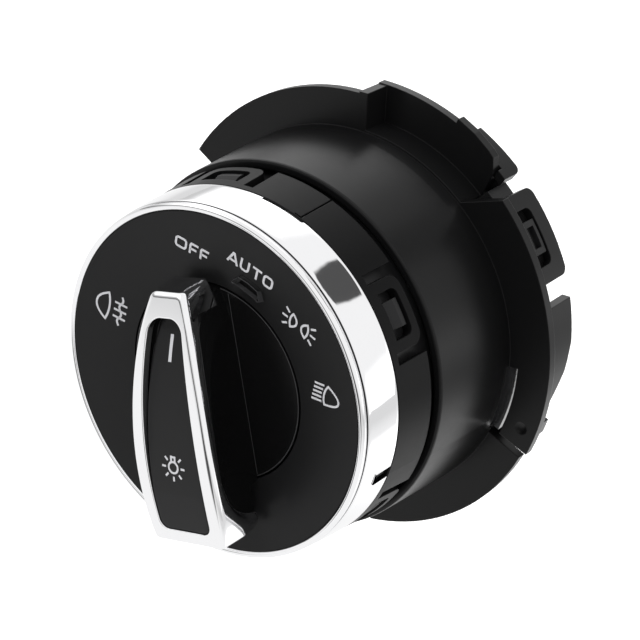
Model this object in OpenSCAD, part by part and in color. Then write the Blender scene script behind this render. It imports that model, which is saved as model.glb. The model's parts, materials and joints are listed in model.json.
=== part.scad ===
// Round rotary headlight switch for a dashboard.
// The switch axis lies along Y, the dial faces -Y and +Z is up.
// The origin is on the axis, in the plane where the flange meets its panel.
// Clock angles run from straight up, clockwise as seen from the front.

/* [Dial and trim ring] */
// Diameter of the dial inside the ring's lip
dial_d = 62; // [56:0.5:70]
// Depth of the dial's dish where it meets the grip's disc
dish = 1.5; // [0.6:0.1:2.4]
// Width of the rounded lip around the dial
lip_w = 1.25; // [0.9:0.05:1.8]
// Length of the chrome ring along the axis
ring_len = 8.8; // [7:0.1:12]
// How much wider the ring is at its back than at its front, on the radius
ring_flare = 0.6; // [0.3:0.05:1.2]
// Width across the window under the AUTO mark, as an angle
lens_angle = 18; // [12:1:24]

/* [Grip] */
// Diameter of the disc that the grip stands on
disc_d = 35.8; // [30:0.2:40]
// Greatest height of the grip above the dial's rim
grip_h = 12.6; // [9:0.2:16]
// Greatest width of the grip
grip_w = 17.4; // [14:0.2:22]
// Width of the grip's waist at the disc
waist_w = 11.9; // [9:0.1:13]
// Distance from the axis to the pointer end
grip_top = 19.6; // [17:0.1:22]
// Distance from the axis to the wide end
grip_bottom = 25.8; // [22:0.1:28]
// Depth of the chrome band around the grip's front
band_h = 2.1; // [1.4:0.1:3]
// Width of the chrome border around the insert
border_w = 2.9; // [2:0.1:4]

/* [Neck and flange] */
// Distance from the dial's rim to the front of the neck
front_len = 19.3; // [17:0.1:24]
// Length of the neck in front of the flange
neck_len = 20.7; // [16:0.1:30]
// Diameter of the neck at its front
neck_d = 69.1; // [68:0.1:76]
// How much wider the neck is at the flange, on the radius
neck_flare = 0.9; // [0:0.1:2]
// Diameter across the flange wings
flange_d = 85.4; // [82:0.2:96]
// Thickness of the wings
wing_t = 1.8; // [1.4:0.1:3]
// How far the upper wing is set back
wing_step = 6; // [4:0.5:8]
// Length of the neck's parallel land in front of the flange
land_len = 3; // [1:0.5:6]
// Wall of the neck
wall = 1.8; // [1.4:0.1:2]

/* [Movement] */
// Angle between two switch positions
detent_step = 30; // [20:1:32]
// Angle of the OFF position
off_angle = -30; // [-40:1:-20]
// Travel of the knob when it is pulled
pull_travel = 4; // [2:0.5:5]

/* [Connector] */
// Width of the connector socket
socket_w = 21; // [19:0.5:26]
// Height of the connector socket
socket_h = 14; // [13:0.5:18]
// Depth of the socket
socket_depth = 6.5; // [5:0.5:9]

/* [Fits] */
// Radial clearance of a turning or sliding fit
run_fit = 0.08; // [0.03:0.01:0.1]
// Clearance between fixed pieces
fixed_gap = 0.1; // [0.05:0.01:0.2]
// Gap between pieces that pass each other
pass_gap = 0.4; // [0.3:0.05:0.6]

/* [Hidden] */
$fn = 96;
eps = 0.02;

// Places along the axis
dial_y = -(neck_len + front_len);
ring_back_y = dial_y + ring_len;
seat_y = ring_back_y + 1;
neck_y = -neck_len;
carrier_back_y = neck_y - 1.8;
clamp_y = dial_y + 2.4;
lamp_plate_y = dial_y + 5;
lamp_plate_t = 2;
web_t = 1.5;
board_t = 1.6;
front_board_y = dial_y + 13.9;
web_y = front_board_y + board_t;
rotor_y = dial_y + 11.2;
rotor_flange_t = 2;
bearing_y = rotor_y + rotor_flange_t + 0.3;
bearing_back_y = web_y + web_t + 9;
cam_y = bearing_back_y + 0.3;
cam_t = 3;
drum_back_y = bearing_back_y + 1;
ledge_t = 1.8;
main_board_y = drum_back_y + 7;
main_board_back_y = main_board_y + board_t;
shaft_end_y = main_board_y + 2;
slider_y = shaft_end_y + pull_travel + 1;
slider_t = 3;
housing_back_y = 4;
cover_plate_t = 2;
shell_back_y = 14;
cover_end_t = 2;
cover_back_y = shell_back_y + cover_end_t;
socket_back_y = cover_back_y + socket_depth + 1.5;

// Radii
dial_r = dial_d / 2;
lip_r = dial_r + lip_w;
ring_front_r = lip_r + 0.2;
ring_back_r = ring_front_r + ring_flare;
spigot_r = dial_r + 0.7;
drum_r = spigot_r - fixed_gap;
drum_in_r = drum_r - 1.6;
carrier_slope = neck_flare / neck_len;
carrier_back_r = ring_back_r + 0.7;
neck_r = neck_d / 2;
neck_back_r = neck_r + neck_flare;
neck_relief = 0.45;
bore_r = neck_r - wall + 0.05;
flange_r = flange_d / 2;
skirt_r = flange_r - 0.2;
skirt_t = 1.6;
disc_r = disc_d / 2;
hole_r = disc_r + pass_gap;
dish_edge_r = dial_r - 0.25;
shaft_r = 4.5;
rotor_r = 8;
light_rod_r = 1.9;
board_r = bore_r - 1.3;

// Grip shape
top_r = 86;
top_mid = -12;
insert_r = 78.5;
insert_mid = -17;
insert_drop = 0.3;
side_r = 112.5;
side_mid = -13;
scoop_r = 24;
panel_top = grip_top - 4.6;
panel_bottom = grip_bottom - 4.8;
window_top = grip_top - 5;
window_bottom = grip_bottom - 2.2;
insert_t = 1.6;
front_room = grip_h + 6;
guide_h = grip_h - 7.4;
guide_t = 1.8;
guide_len = 24;
guide_end = -13.5;

// Clock angles
side_angle = off_angle + 2 * detent_step;
dipped_angle = off_angle + 3 * detent_step;
fog_angle = -90;
loop_angles = [for (i = [0:4]) 41 + i * 72];
loop_w = 12.3;
loop_slot_w = 1.9;
hook_half = 4.2;
rear_loops = [39.7, 145, 238];
rear_loop_w = 16.6;
rear_window_w = 10.6;
slant_root = 20.8;
// Start, end and extra radius of each lower wing
wing_spans = [[-75, -16.6, -0.3], [28.7, 94.6, 0.8], [96.6, 152, 0], [168, 262, 0]];
high_wing = [-16.6, 23];

// Chip and connector blades
chip_w = 10;
chip_t = 1.6;
blade_w = 1.2;
blade_t = 0.8;
blade_pitch = 3.6;
blade_row = 3.8;
socket_z = -15.5;

black = [0.07, 0.07, 0.08];
satin = [0.11, 0.11, 0.12];
chrome = [0.86, 0.87, 0.88];
steel = [0.7, 0.7, 0.72];
brass = [0.8, 0.65, 0.3];
board_green = [0.1, 0.35, 0.2];
clear = [0.85, 0.9, 0.95];
natural = [0.85, 0.84, 0.8];

// Turns a (radius, Y) profile about the switch axis.
module turned() {
    rotate([-90, 0, 0]) rotate_extrude() children();
}

// Extrudes a front-view drawing back from the plane y.
module along_y(y, len) {
    translate([0, y + len, 0]) rotate([90, 0, 0]) linear_extrude(height = len) children();
}

// Extrudes a (Y, Z) side-view drawing across X, centred.
module along_x(len) {
    rotate([90, 0, 90]) linear_extrude(height = len, center = true) children();
}

module tube(y, len, r_out, r_in) {
    along_y(y, len) difference() {
        circle(r = r_out);
        circle(r = r_in);
    }
}

module disc(y, len, r) {
    along_y(y, len) circle(r = r);
}

// A point at a clock angle in the front view.
function at(a, r) = [r * sin(a), r * cos(a)];

// Front-view wedge between two clock angles, out past radius r.
module wedge(a0, a1, r) {
    n = ceil((a1 - a0) / 40);
    polygon(concat([[0, 0]], [for (i = [0:n]) at(a0 + (a1 - a0) * i / n, r * 1.2)]));
}

// A ring limited to a span of clock angles.
module arc_tube(y, len, r_out, r_in, a0, a1) {
    along_y(y, len) intersection() {
        difference() {
            circle(r = r_out);
            circle(r = r_in);
        }
        wedge(a0, a1, r_out);
    }
}

// Moves a piece to a clock angle about the axis.
module clock(a) {
    rotate([0, a, 0]) children();
}

// A strip as wide as w between y0 and y1, with both corners at y1 rounded.
module round_end(w, y0, y1, r) {
    translate([-w / 2, y0]) square([w, y1 - y0 - r]);
    translate([-w / 2 + r, y0]) square([w - 2 * r, y1 - y0]);
    for (s = [-1, 1])
        translate([s * (w / 2 - r), y1 - r]) circle(r = r, $fn = 24);
}

// Front pieces

module trim_ring() {
    color(chrome) difference() {
        turned() {
            translate([dial_r + 0.05 + lip_w / 2, dial_y + 0.25]) circle(r = lip_w / 2, $fn = 32);
            polygon([[dial_r + 0.05, dial_y + 0.25], [lip_r + 0.05, dial_y + 0.25],
                [lip_r + 0.05, dial_y + 0.75], [lip_r - 0.1, dial_y + 0.9],
                [lip_r - 0.1, dial_y + 1.05], [ring_front_r - 0.1, dial_y + 1.15],
                [ring_front_r, dial_y + 1.4], [ring_back_r, ring_back_y - 0.15],
                [ring_back_r - 0.15, ring_back_y], [spigot_r + fixed_gap, ring_back_y],
                [spigot_r + fixed_gap, dial_y + 1], [dial_r + 0.05, dial_y + 1]]);
        }
        arc_tube(ring_back_y - 0.4, 1, ring_back_r + 1, spigot_r + 0.3, -10.7, 4.4);
        arc_tube(ring_back_y - 4.2, 5, ring_back_r + 1, spigot_r + fixed_gap - eps, 86.6, 90.6);
    }
}

module lens_outline(gap) {
    mid = 2.5;
    half = lens_angle / 2;
    r0 = dial_r * 0.672;
    r1 = r0 + 1.7;
    polygon([at(mid - half, r0), at(mid - half * 0.6, r1 + gap), at(mid, r1 + 0.1 + gap),
        at(mid + half * 0.6, r1 + gap), at(mid + half, r0), at(mid + half * 0.5, r0 - gap * 0.5),
        at(mid, r0 - gap), at(mid - half * 0.5, r0 - gap * 0.5)]);
}

module fascia() {
    color(satin) difference() {
        turned() polygon([[hole_r, dial_y + dish], [dish_edge_r, dial_y], [dial_r, dial_y],
            [dial_r, dial_y + 1], [spigot_r, dial_y + 1], [spigot_r, clamp_y],
            [spigot_r - 1.6, clamp_y], [spigot_r - 1.6, lamp_plate_y],
            [spigot_r - 3.2, lamp_plate_y], [spigot_r - 3.2, dial_y + 4.2],
            [hole_r, dial_y + 4.2]]);
        along_y(dial_y - 1, 8) lens_outline(0.08);
    }
}

module indicator_lens() {
    color([0.12, 0.12, 0.13]) difference() {
        along_y(dial_y, 4.2) lens_outline(0);
        turned() polygon([[0, dial_y - 1], [dial_r, dial_y - 1], [dial_r, dial_y],
            [dish_edge_r, dial_y], [hole_r, dial_y + dish], [0, dial_y + dish]]);
    }
}

module light_guide() {
    color(clear) {
        tube(lamp_plate_y, lamp_plate_t, spigot_r - 1.6, disc_r + 2);
        for (a = [off_angle, 0, side_angle, dipped_angle, fog_angle])
            clock(a) translate([0, 0, dial_r * 0.79])
                disc(lamp_plate_y + lamp_plate_t - 0.5, front_board_y - 1.6 - lamp_plate_y - 1.5, 1.6);
    }
}

// Cuts that leave five round-cornered snap loops in the carrier's wall.
module carrier_slots() {
    for (a = loop_angles)
        clock(a) translate([0, carrier_back_y, drum_in_r]) linear_extrude(height = 8) {
            difference() {
                translate([-loop_w / 2 - loop_slot_w, -7.2]) square([loop_w + 2 * loop_slot_w, 9]);
                round_end(loop_w, -8, -0.4, 1.9);
            }
            round_end(loop_w - 4, -6.3, -2, 1.2);
        }
}

module ring_carrier() {
    color(black) difference() {
        turned() polygon([[spigot_r - 1.5, clamp_y], [spigot_r, clamp_y],
            [spigot_r, ring_back_y], [ring_back_r - 0.2, ring_back_y],
            [ring_back_r, ring_back_y + 0.2], [carrier_back_r, carrier_back_y],
            [spigot_r, carrier_back_y], [spigot_r, seat_y], [spigot_r - 1.5, seat_y]]);
        carrier_slots();
        // Mould seam above the right shoulder
        clock(2.5) translate([-0.15, ring_back_y + 0.3, carrier_back_r - 1]) cube([0.3, 12, 2]);
        clock(1.8) translate([-1, ring_back_y + 0.3, carrier_back_r - 1]) cube([1.6, 0.3, 2]);
    }
    color(black) clock(89) arc_tube(ring_back_y - 3, 3 + eps, spigot_r + 0.7, spigot_r - 1, -0.9, 0.9);
}

// A hook that ramps up to its catching face.
module front_hook() {
    intersection() {
        turned() polygon([[drum_r - 0.5, carrier_back_y - 5.9], [drum_r + 0.6, carrier_back_y - 5.9],
            [ring_back_r + 0.1, carrier_back_y - 3.6], [ring_back_r + 0.1, carrier_back_y - 2.5],
            [drum_r - 0.5, carrier_back_y - 2.5]]);
        along_y(carrier_back_y - 8, 8) wedge(-hook_half, hook_half, ring_back_r + 2);
    }
}

module front_body() {
    color(black) {
        difference() {
            union() {
                tube(seat_y, drum_back_y - seat_y, drum_r, drum_in_r);
                tube(lamp_plate_y + lamp_plate_t, 3.4, spigot_r - 1.6, spigot_r - 2.9);
                tube(seat_y, 1.6, drum_r - 0.2, spigot_r - 2.9);
                tube(web_y, web_t, drum_r - 0.5, rotor_r + 1);
                tube(bearing_y, bearing_back_y - bearing_y, rotor_r + 1.7, rotor_r + run_fit);
                tube(drum_back_y - 3, 3, bore_r - fixed_gap, drum_r - 0.5);
                // Posts that hold the ends of the detent spring
                for (s = [-1, 1])
                    translate([s * 12.5, 0, -15.2]) disc(web_y + web_t - eps, 12.5, 1.5);
            }
            // Slot for the link between the boards
            along_y(web_y - 1, web_t + 2) translate([-5.6, -dial_r * 0.79 - 1.5]) square([11.2, 3]);
        }
        for (a = loop_angles) clock(a) front_hook();
    }
}

module dial_board() {
    color(board_green) difference() {
        tube(front_board_y, board_t, drum_in_r - 0.4, disc_r + 1.6);
        along_y(front_board_y - 1, board_t + 2) translate([-5.1, -dial_r * 0.79 - 1.15])
            square([10.2, 2.3]);
    }
}

module led(a) {
    color(natural) clock(a) translate([-1.5, front_board_y - 1.4, dial_r * 0.79 - 1.4])
        cube([3, 1.4, 2.8]);
}

module led_off() {
    led(off_angle);
}

module led_auto() {
    led(0);
}

module led_side() {
    led(side_angle);
}

module led_dipped() {
    led(dipped_angle);
}

module led_fog() {
    led(fog_angle);
}

// Grip, drawn with its pointer end up

module grip_plan(w, top, bottom) {
    half = w / 2;
    intersection() {
        translate([half - side_r, side_mid]) circle(r = side_r, $fn = 300);
        translate([side_r - half, side_mid]) circle(r = side_r, $fn = 300);
        translate([-30, -bottom]) square([60, top + bottom]);
    }
}

module grip_side(drop) {
    intersection() {
        translate([dial_y - grip_h + top_r, top_mid]) circle(r = top_r - drop, $fn = 360);
        polygon([[dial_y + 3, -grip_bottom + 3], [dial_y - 1, -grip_bottom + 2.2],
            [dial_y - grip_h + 2.6, -grip_bottom], [dial_y - grip_h + 1.2, -grip_bottom + 0.5],
            [dial_y - grip_h - 3, -grip_bottom + 4], [dial_y - grip_h - 3, 0],
            [dial_y - 9, grip_top - 3], [dial_y - 6.9, grip_top - 2],
            [dial_y - 5, grip_top - 0.8], [dial_y - 0.5, grip_top], [dial_y + 3, grip_top]]);
    }
}

// The grip's outer shape, with waisted flanks and a pointer end that tapers forwards.
module grip_solid() {
    difference() {
        intersection() {
            along_x(40) grip_side(0);
            along_y(dial_y - front_room, front_room + 4) grip_plan(grip_w, grip_top + 8, grip_bottom + 8);
        }
        for (s = [0, 1]) mirror([s, 0, 0]) {
            translate([waist_w / 2 + scoop_r, dial_y + 0.5, -60]) cylinder(r = scoop_r, h = 120, $fn = 160);
            translate([5.8, dial_y + 1.5, 17]) rotate([0, 0, -12.5]) rotate([0, -20.7, 0])
                translate([0, -40, -30]) cube([20, 80, 60]);
        }
    }
}

// The part of the grip between its ends, below the chrome band.
module panel_zone(gap) {
    along_x(40) intersection() {
        translate([dial_y - grip_h + top_r, top_mid]) circle(r = top_r - band_h - gap, $fn = 360);
        union() {
            translate([dial_y - front_room, -panel_bottom + gap])
                square([front_room + 10, panel_top + panel_bottom - 2 * gap]);
        }
    }
}

module window_plan(gap) {
    w = grip_w - 2 * border_w;
    intersection() {
        grip_plan(w + 2 * gap, window_top + gap, window_bottom + gap);
        union() {
            translate([-20, -window_bottom + 3]) square([40, window_bottom + window_top - 6.6]);
            translate([0, window_top - 3.6]) circle(r = 3.6 + gap);
            translate([-2.6, -window_bottom + 3]) circle(r = 3 + gap);
            translate([3.8, -window_bottom + 1.6]) circle(r = 1.6 + gap);
            translate([-2.6, -window_bottom - gap]) square([6.4, 4]);
        }
    }
}

// Everything under the insert's face, drop deep.
module under_insert(drop) {
    along_x(40) intersection() {
        translate([dial_y - grip_h + insert_drop + insert_r, insert_mid])
            circle(r = insert_r - drop, $fn = 360);
        translate([dial_y - grip_h + top_r, top_mid]) circle(r = top_r - 0.25 - drop, $fn = 360);
    }
}

module knob_frame() {
    color(chrome) clock(off_angle) difference() {
        grip_solid();
        panel_zone(0);
        along_y(dial_y - front_room, front_room) window_plan(0.06);
        along_y(dial_y - 0.6, 6) square([60, 80], center = true);
    }
}

module knob_insert() {
    color(satin) clock(off_angle) difference() {
        intersection() {
            along_y(dial_y - front_room, front_room) window_plan(0);
            under_insert(0);
        }
        under_insert(insert_t);
    }
}

module knob_key(extra) {
    for (s = [0, 180])
        rotate([0, s, 0]) translate([0, bearing_y, -0.8 - extra])
            cube([5.9 + extra, 13, 1.6 + 2 * extra]);
}

module knob_body() {
    color(black) clock(off_angle) difference() {
        union() {
            difference() {
                intersection() {
                    grip_solid();
                    panel_zone(0.05);
                    along_y(dial_y - front_room, front_room + dish + 1) square([60, 80], center = true);
                }
                // The blade's overhanging end stays clear of the dial
                tube(dial_y - 0.6, 8, 60, disc_r);
            }
            // Roots that carry the frame's two ends
            intersection() {
                grip_solid();
                along_y(dial_y - 0.6 + eps, dish + 1.4) square([60, 80], center = true);
                disc(dial_y - 1, 6, disc_r);
            }
            disc(dial_y + dish, 2, disc_r);
            tube(dial_y + dish, 9, disc_r, disc_r - 1.5);
            disc(dial_y + dish, rotor_y - dial_y - dish, 6.5);
            disc(rotor_y - 1, shaft_end_y - rotor_y + 1, shaft_r);
            knob_key(0);
        }
        difference() {
            along_y(dial_y - front_room, front_room) window_plan(0.1);
            under_insert(insert_t);
        }
        // Hollow inside the blade
        for (z = [-16, 7.4])
            translate([-3.6, dial_y - 3, z]) cube([7.2, 10, z > 0 ? 5 : 8.6]);
        // Room for the light guide
        disc(dial_y - guide_h - fixed_gap, 60, light_rod_r + fixed_gap);
        translate([-1.7, dial_y - guide_h - 0.1, guide_end - 0.1]) cube([3.4, guide_t + 0.2, guide_len + 0.2]);
        guide_risers(0.1);
    }
}

// The two bars that light the pointer and the lamp sign.
module guide_risers(gap) {
    translate([0, 0, 9.4]) disc(dial_y - front_room, front_room - guide_h + 0.5, 1.1 + gap);
    translate([0, 0, -11.4]) disc(dial_y - front_room, front_room - guide_h + 0.5, 2 + gap);
}

module knob_light_guide() {
    color(clear) clock(off_angle) {
        disc(dial_y - guide_h, shaft_end_y - dial_y + guide_h, light_rod_r);
        translate([-1.6, dial_y - guide_h, guide_end]) cube([3.2, guide_t, guide_len]);
        intersection() {
            guide_risers(0);
            under_insert(insert_t + 0.05);
        }
    }
}

// Turning and sliding pieces inside

module rotor() {
    color(natural) clock(off_angle) difference() {
        union() {
            disc(rotor_y, rotor_flange_t, 14.5);
            disc(rotor_y, cam_y + cam_t - rotor_y, rotor_r);
        }
        disc(rotor_y - 1, 40, shaft_r + run_fit);
        knob_key(0.1);
        for (s = [0, 180])
            rotate([0, s, 0]) translate([0, rotor_y - 1, -0.9]) cube([6, 12, 1.8]);
    }
}

module cam_wheel() {
    color(natural) difference() {
        tube(cam_y, cam_t, 13.5, rotor_r + eps);
        for (i = [0:3])
            clock(180 - i * detent_step) translate([0, 0, 14.2]) disc(cam_y - 1, cam_t + 2, 1.5);
    }
}

module detent_spring() {
    color(steel) {
        // Nose that sits in a notch
        translate([0, 0, -14.2]) tube(cam_y + 0.3, cam_t - 0.6, 1.4, 1.1);
        for (s = [0, 1]) mirror([s, 0, 0]) along_y(cam_y + 0.3, cam_t - 0.6)
            polygon([[0.9, -15.05], [11.2, -16.6], [11.2, -16.9], [0.9, -15.4]]);
        for (s = [-1, 1])
            translate([s * 12.5, 0, -15.2]) tube(cam_y + 0.3, cam_t - 0.6, 2.1, 1.5);
    }
}

module wiper() {
    color(brass) clock(off_angle) {
        tube(cam_y + cam_t, 0.4, 12.8, 9.6);
        for (i = [0:2])
            clock(i * 120) translate([0, cam_y + cam_t + 0.2, 0])
                along_z_strip(10.2 + i * 0.4);
    }
}

// One bent finger of the wiper, reaching back to the board.
module along_z_strip(r) {
    reach = main_board_y - cam_y - cam_t - 0.25;
    translate([0, 0, r]) linear_extrude(height = 1.2)
        polygon([[-2.2, 0], [-1.6, 0], [2.4, reach - 0.4], [2.4, reach], [2, reach]]);
}

module main_board() {
    color(board_green) difference() {
        disc(main_board_y, board_t, board_r);
        disc(main_board_y - 1, 5, shaft_r + 1);
    }
}

module control_chip() {
    color(black) translate([-chip_w / 2, main_board_y - chip_t, board_r - 15])
        cube([chip_w, chip_t, 8]);
}

module board_link() {
    color(natural) along_y(front_board_y, main_board_y - front_board_y)
        translate([-5, -dial_r * 0.79 - 1.05]) square([10, 2.1]);
}

module pull_slider() {
    color(natural) {
        disc(shaft_end_y, slider_y - shaft_end_y + 0.5, shaft_r - 0.2);
        translate([-9, slider_y, -5]) cube([18, slider_t, 10]);
        disc(slider_y + slider_t - eps, 4, 1.8);
    }
}

module slider_contact() {
    color(brass) translate([9, slider_y + 0.5, -2.5]) {
        cube([0.4, 2, 5]);
        translate([0, 0.6, -1.2]) cube([0.9, 0.8, 7.4]);
    }
}

// A round-wire compression coil about the switch axis, wound by a formula.
module pull_spring() {
    wire = 0.35;
    coil_r = 2.7;
    turns = 6;
    steps = turns * 16;
    sides = 8;
    y0 = slider_y + slider_t + wire;
    y1 = shell_back_y - wire;
    ring = [for (i = [0:steps], k = [0:sides - 1])
        let (a = 360 * i / 16, b = 360 * k / sides, r = coil_r + wire * cos(b))
        [r * cos(a), y0 + (y1 - y0) * i / steps + wire * sin(b), r * sin(a)]];
    body = [for (i = [0:steps - 1], k = [0:sides - 1])
        let (n = (k + 1) % sides)
        [i * sides + k, i * sides + n, (i + 1) * sides + n, (i + 1) * sides + k]];
    caps = [[for (k = [sides - 1:-1:0]) k], [for (k = [0:sides - 1]) steps * sides + k]];
    color(steel) polyhedron(points = ring, faces = concat(body, caps), convexity = 8);
}

// Connector blades, two rows of five.
module terminal(i) {
    column = i % 5;
    row = floor(i / 5);
    x = (column - 2) * blade_pitch;
    z = socket_z + (row - 0.5) * blade_row;
    color(brass) translate([x - blade_w / 2, main_board_back_y, z - blade_t / 2])
        cube([blade_w, socket_back_y - 1 - main_board_back_y, blade_t]);
}

// Rear cover

// A hook with a pocket in its face, on a wall that closes the loop's window.
module rear_hook() {
    difference() {
        union() {
            arc_tube(3, 3.6, skirt_r - 0.2, neck_back_r + 1, -hook_half, hook_half);
            arc_tube(wing_t + 0.6, 6.2, skirt_r - skirt_t - 0.5, skirt_r - skirt_t - 1.9, -9.5, 9.5);
        }
        translate([-2, 3.8, skirt_r - 1.4]) cube([4, 2, 3]);
    }
}

module rear_cover() {
    color(black) difference() {
        union() {
            // Spigot that clamps the board
            tube(main_board_back_y, housing_back_y - main_board_back_y + eps, bore_r - fixed_gap,
                bore_r - 2);
            difference() {
                disc(housing_back_y, cover_plate_t, neck_back_r + 1.6);
                along_y(housing_back_y - 1, cover_plate_t + 2)
                    intersection() {
                        difference() {
                            circle(r = neck_back_r + 4);
                            circle(r = bore_r - fixed_gap);
                        }
                        wedge(high_wing[0] - 6, high_wing[1] + 5, neck_back_r + 4);
                    }
            }
            disc(housing_back_y, cover_back_y - housing_back_y, bore_r - 1.4);
            arc_tube(housing_back_y, 6, neck_back_r + 3.6, bore_r - 2, high_wing[1] + 1.2, high_wing[1] + 7);
            for (a = rear_loops) clock(a) rear_hook();
            // Socket shroud
            along_y(cover_back_y - 1, socket_back_y - cover_back_y + 1)
                translate([-socket_w / 2 - 1.5, socket_z - socket_h / 2 - 1.5])
                    square([socket_w + 3, socket_h + 3]);
        }
        disc(housing_back_y - 12, shell_back_y - housing_back_y + 12, bore_r - 3.2);
        along_y(socket_back_y - socket_depth, socket_depth + 1)
            translate([-socket_w / 2, socket_z - socket_h / 2]) square([socket_w, socket_h]);
        // Openings for the blades
        for (i = [0:9])
            translate([(i % 5 - 2) * blade_pitch - blade_w / 2 - 0.03, shell_back_y - 1,
                socket_z + (floor(i / 5) - 0.5) * blade_row - blade_t / 2 - 0.03])
                cube([blade_w + 0.06, 20, blade_t + 0.06]);
    }
    // Rails that guide the slider
    color(black) for (s = [-1, 1])
        translate([s > 0 ? 10.4 : -11.9, shaft_end_y + 1.5, -8]) cube([1.5, shell_back_y - shaft_end_y - 1, 16]);
}

// Housing

// A flange wing between two clock angles, with its free corners cut back.
module wing(y, t, r, a0, a1) {
    arc_tube(y, t, r, bore_r + 0.5, a0, a1);
}

module step_wall(a) {
    clock(a) translate([0, 0, bore_r + 0.5])
        cube([wing_t, wing_step + wing_t, flange_r - bore_r - 0.5]);
}

// A drawing in (tangent, distance behind the flange) cut from the skirt's wall.
module skirt_piece(a, r) {
    clock(a) intersection() {
        tube(0, 20, r, r - skirt_t);
        translate([0, wing_t, bore_r]) linear_extrude(height = flange_r) children();
    }
}

module snap_loop(a) {
    skirt_piece(a, skirt_r) difference() {
        round_end(rear_loop_w, -eps, 8.6, 1.5);
        round_end(rear_window_w, -1, 5.2, 1.3);
    }
}

// The fin beside the upper loop, cut off at a slant.
module fin() {
    skirt_piece(70.85, skirt_r)
        polygon([[-10.3, -eps], [-10.3, 8.1], [-2.3, 7.4], [2.9, 5.7], [9.8, 0.9], [10.3, -eps]]);
}

// The round-cornered tab behind the high wing.
module high_tab() {
    skirt_piece(16.85, skirt_r - 0.8) difference() {
        union() {
            translate([-5.35, wing_step - eps]) square([9.2, 4.1]);
            translate([3.4, wing_step - 1.2]) square([1.95, 4]);
            translate([3.85, wing_step + 2.6]) circle(r = 1.5, $fn = 24);
        }
        translate([5.35, 0]) square([3, 20]);
    }
}

// The high wing, its right-hand corner cut back in three steps.
module high_wing_plate() {
    wing(wing_step, wing_t, flange_r + 0.2, high_wing[0], 12);
    along_y(wing_step, wing_t) polygon([at(6.4, bore_r + 0.6), at(6.4, flange_r + 1.1),
        at(11.6, flange_r + 1), at(16.9, flange_r + 0.6), at(18.7, flange_r + 0.3),
        at(21.4, flange_r - 1.9), at(high_wing[1] + 0.4, neck_back_r + 0.75),
        at(high_wing[1] + 0.4, bore_r + 0.6)]);
}

module housing() {
    color(black) difference() {
        union() {
            // Neck with a rounded front rim
            turned() polygon([[bore_r, neck_y + 0.4], [bore_r + 0.4, neck_y],
                [neck_r - 0.4, neck_y], [neck_r - 0.1, neck_y + 0.15], [neck_r, neck_y + 0.5],
                [neck_back_r, -land_len], [neck_back_r, 0], [neck_back_r - neck_relief, 0.1],
                [neck_back_r - neck_relief, housing_back_y], [bore_r, housing_back_y]]);
            arc_tube(0, wing_step + wing_t, neck_back_r + neck_relief, bore_r + 0.2,
                high_wing[0] - 0.5, high_wing[1] + 0.4);
            tube(drum_back_y, ledge_t, bore_r + 0.5, bore_r - 5);
            // Board posts
            for (a = [20, 110, 200, 290])
                clock(a) translate([0, 0, bore_r - 3]) disc(drum_back_y, main_board_y - drum_back_y, 1.8);
            for (w = wing_spans) wing(0, wing_t, flange_r + w[2], w[0], w[1]);
            // Slanted start of the right-hand wing
            along_y(0, wing_t) polygon([at(slant_root, neck_back_r - 1),
                at(wing_spans[1][0], flange_r + wing_spans[1][2]), at(wing_spans[1][0] + 1.3, flange_r),
                at(wing_spans[1][0] + 1.3, neck_back_r - 1)]);
            high_wing_plate();
            step_wall(high_wing[0]);
            // Parts behind the flange
            high_tab();
            for (a = rear_loops) snap_loop(a);
            fin();
            arc_tube(wing_t - eps, 4.2, skirt_r, skirt_r - skirt_t, 88, 92);
        }
        // Window at the root of the right-hand wing
        arc_tube(-1.4, 1.4 + wing_t + 1, neck_back_r + 1.7, neck_back_r - 0.9, 72.9, 94.7);
        // Sink mark in the right-hand wing
        clock(89) translate([0, -1.6, flange_r - 2.2]) sphere(r = 2, $fn = 48);
    }
}

trim_ring();
fascia();
indicator_lens();
light_guide();
ring_carrier();
front_body();
dial_board();
led_off();
led_auto();
led_side();
led_dipped();
led_fog();
rotor();
knob_body();
knob_frame();
knob_insert();
knob_light_guide();
cam_wheel();
detent_spring();
wiper();
main_board();
control_chip();
board_link();
pull_slider();
slider_contact();
pull_spring();
terminal(0);  // terminal_1
terminal(1);  // terminal_2
terminal(2);  // terminal_3
terminal(3);  // terminal_4
terminal(4);  // terminal_5
terminal(5);  // terminal_6
terminal(6);  // terminal_7
terminal(7);  // terminal_8
terminal(8);  // terminal_9
terminal(9);  // terminal_10
rear_cover();
housing();
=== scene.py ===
"""Looks for the headlight switch: materials, grip, trim ring, dial signs, studio and camera."""

import json
import math

import bmesh
import bpy
import numpy as np
from mathutils import Matrix, Vector
from mathutils.bvhtree import BVHTree


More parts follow.
